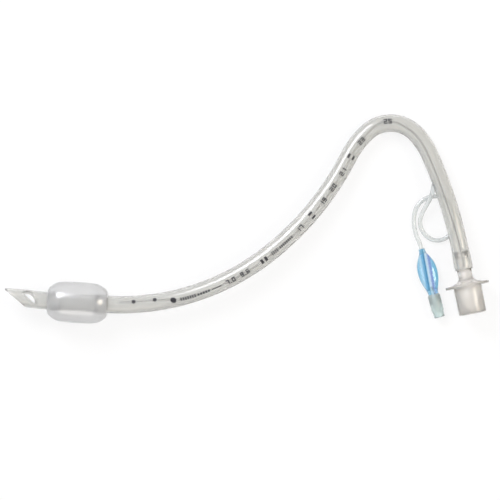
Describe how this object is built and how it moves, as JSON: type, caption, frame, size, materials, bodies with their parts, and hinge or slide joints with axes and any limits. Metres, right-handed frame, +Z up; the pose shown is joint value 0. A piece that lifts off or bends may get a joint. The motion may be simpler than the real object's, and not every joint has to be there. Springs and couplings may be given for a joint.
{
  "type": "endotracheal tube",
  "caption": "Cuffed endotracheal tube with a bevelled tip and side eye, a winged male connector, and a fine inflation line to a pilot balloon and check valve.",
  "frame": {"origin": "on the surface the tube lies on, under the middle of the tube, cuff and connector together", "axes": "+X from the bevelled tip towards the connector end, +Y from the connector and balloon towards the top of the bend, +Z up from the surface"},
  "size_m": [0.2644, 0.1146, 0.0225],
  "materials": {
    "tube_pvc": "milky translucent soft plastic, smooth and glossy",
    "cuff_film": "thin clear film, slightly milky",
    "connector_plastic": "frosted translucent moulded plastic",
    "line_pvc": "milky soft plastic hose",
    "balloon_film": "thin light blue film, glossy",
    "valve_housing": "clear pale green-grey moulded plastic",
    "valve_plunger": "white moulded plastic",
    "valve_seal": "soft rubber",
    "valve_spring": "drawn stainless wire"
  },
  "bodies": {
    "tube": {"tube": "tube_pvc", "cuff": "cuff_film", "connector": "connector_plastic", "inflation_line": "line_pvc", "pilot_balloon": "balloon_film", "valve_body": "valve_housing", "valve_plug": "valve_housing", "valve_spring": "valve_spring"},
    "plunger": {"valve_plunger": "valve_plunger", "valve_seal": "valve_seal"}
  },
  "joints": [
    {"name": "plunger_slide", "type": "slide", "parent": "tube", "child": "plunger", "axis": [-0.2562, 0.9666, 0], "range_m": [0, 0.0012], "stiffness_N_per_m": 300, "deforming": ["valve_spring"]}
  ]
}
